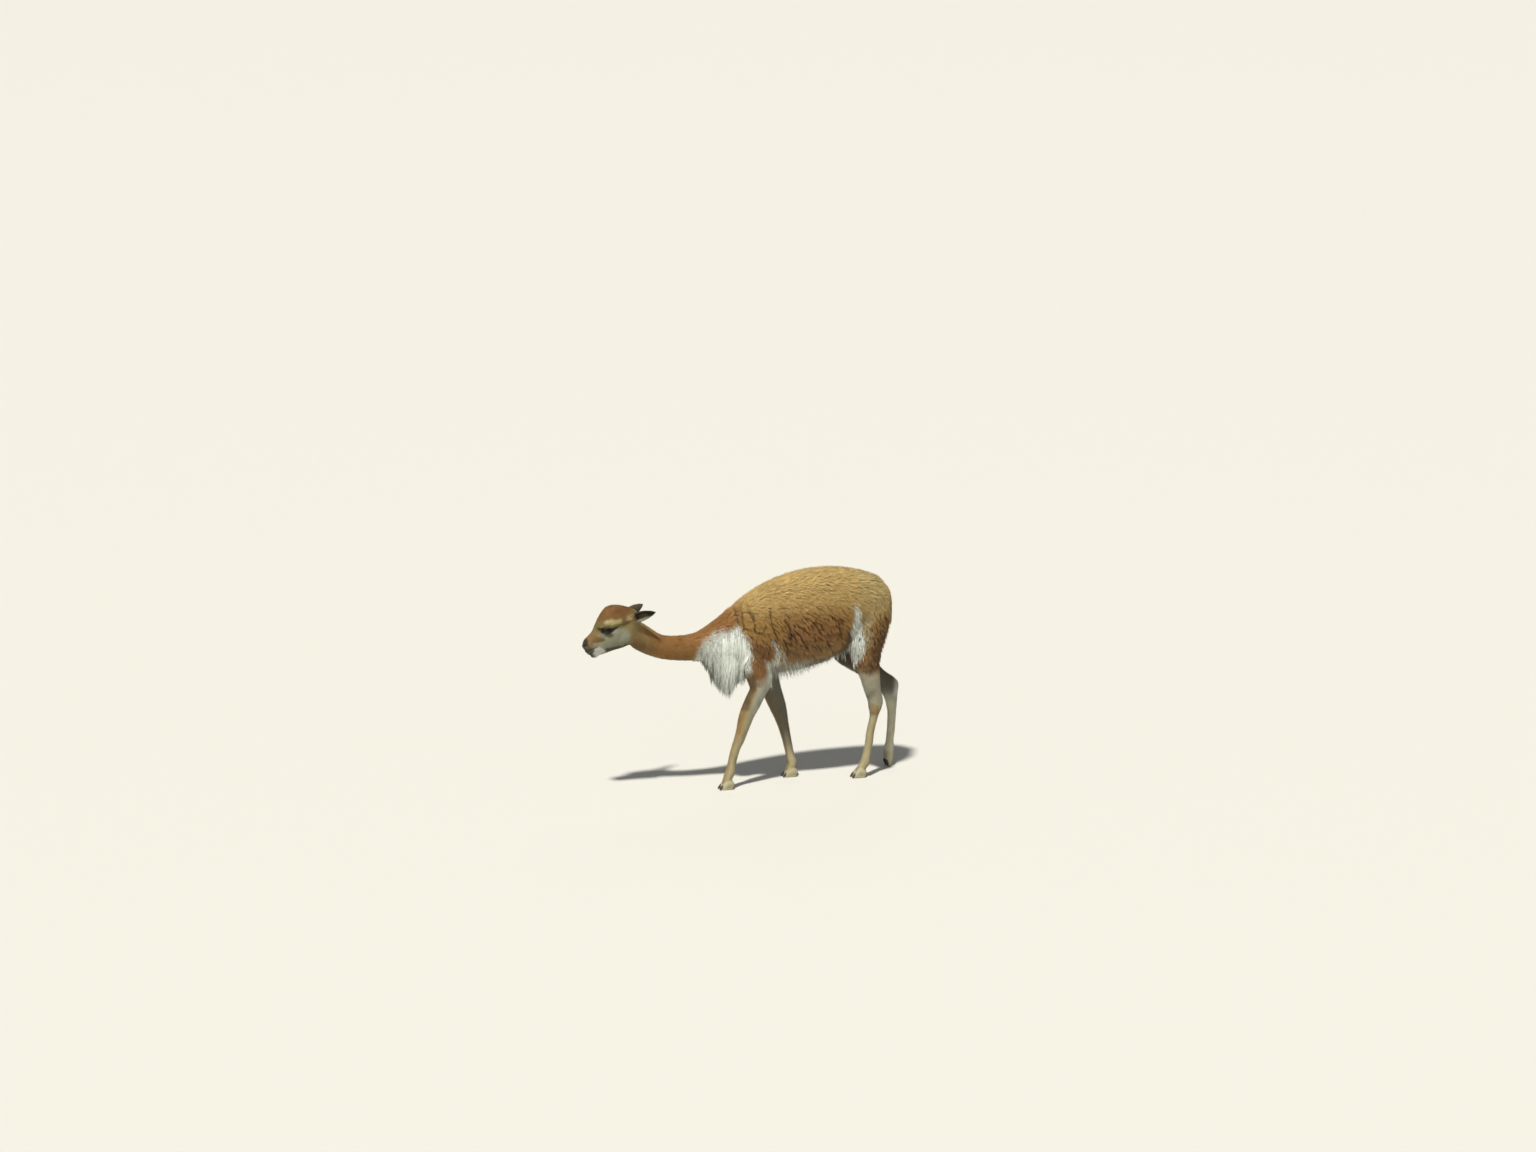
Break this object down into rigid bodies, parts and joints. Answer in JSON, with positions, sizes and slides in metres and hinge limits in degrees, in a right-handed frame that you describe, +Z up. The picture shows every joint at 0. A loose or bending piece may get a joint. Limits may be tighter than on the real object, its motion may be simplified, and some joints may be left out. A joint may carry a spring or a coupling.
{
  "type": "vicuna",
  "caption": "Life-size standing vicuna, walking with its neck stretched low, with a long hanging chest bib and a dense fleece.",
  "frame": {"origin": "on the floor, under the middle of the whole animal's box", "axes": "+X from the head towards the tail, so the animal faces -X; -Y to its left side; +Z up"},
  "size_m": [1.4042, 0.2918, 0.892],
  "materials": {
    "fleece": "dense golden-cinnamon fleece",
    "neck_coat": "short rufous wool",
    "face_coat": "short flat hair",
    "chin_coat": "short pale hair",
    "ear_coat": "short flat hair",
    "bib_coat": "long silky hair",
    "leg_coat": "short flat hair",
    "eye": "wet gloss",
    "nail": "dull horn"
  },
  "bodies": {
    "root": {"head": "face_coat", "lower_jaw": "chin_coat", "ear_left": "ear_coat", "ear_right": "ear_coat", "eye_left": "eye", "eye_right": "eye", "neck": "neck_coat", "chest": "bib_coat", "torso": "fleece", "rump": "fleece", "tail": "fleece", "thigh_left": "fleece", "thigh_right": "fleece", "foreleg_left": "leg_coat", "foreleg_right": "leg_coat", "hindleg_left": "leg_coat", "hindleg_right": "leg_coat", "foot_fore_left": "leg_coat", "foot_fore_right": "leg_coat", "foot_hind_left": "leg_coat", "foot_hind_right": "leg_coat", "nail_fore_left_a": "nail", "nail_fore_left_b": "nail", "nail_fore_right_a": "nail", "nail_fore_right_b": "nail", "nail_hind_left_a": "nail", "nail_hind_left_b": "nail", "nail_hind_right_a": "nail", "nail_hind_right_b": "nail"}
  },
  "joints": []
}
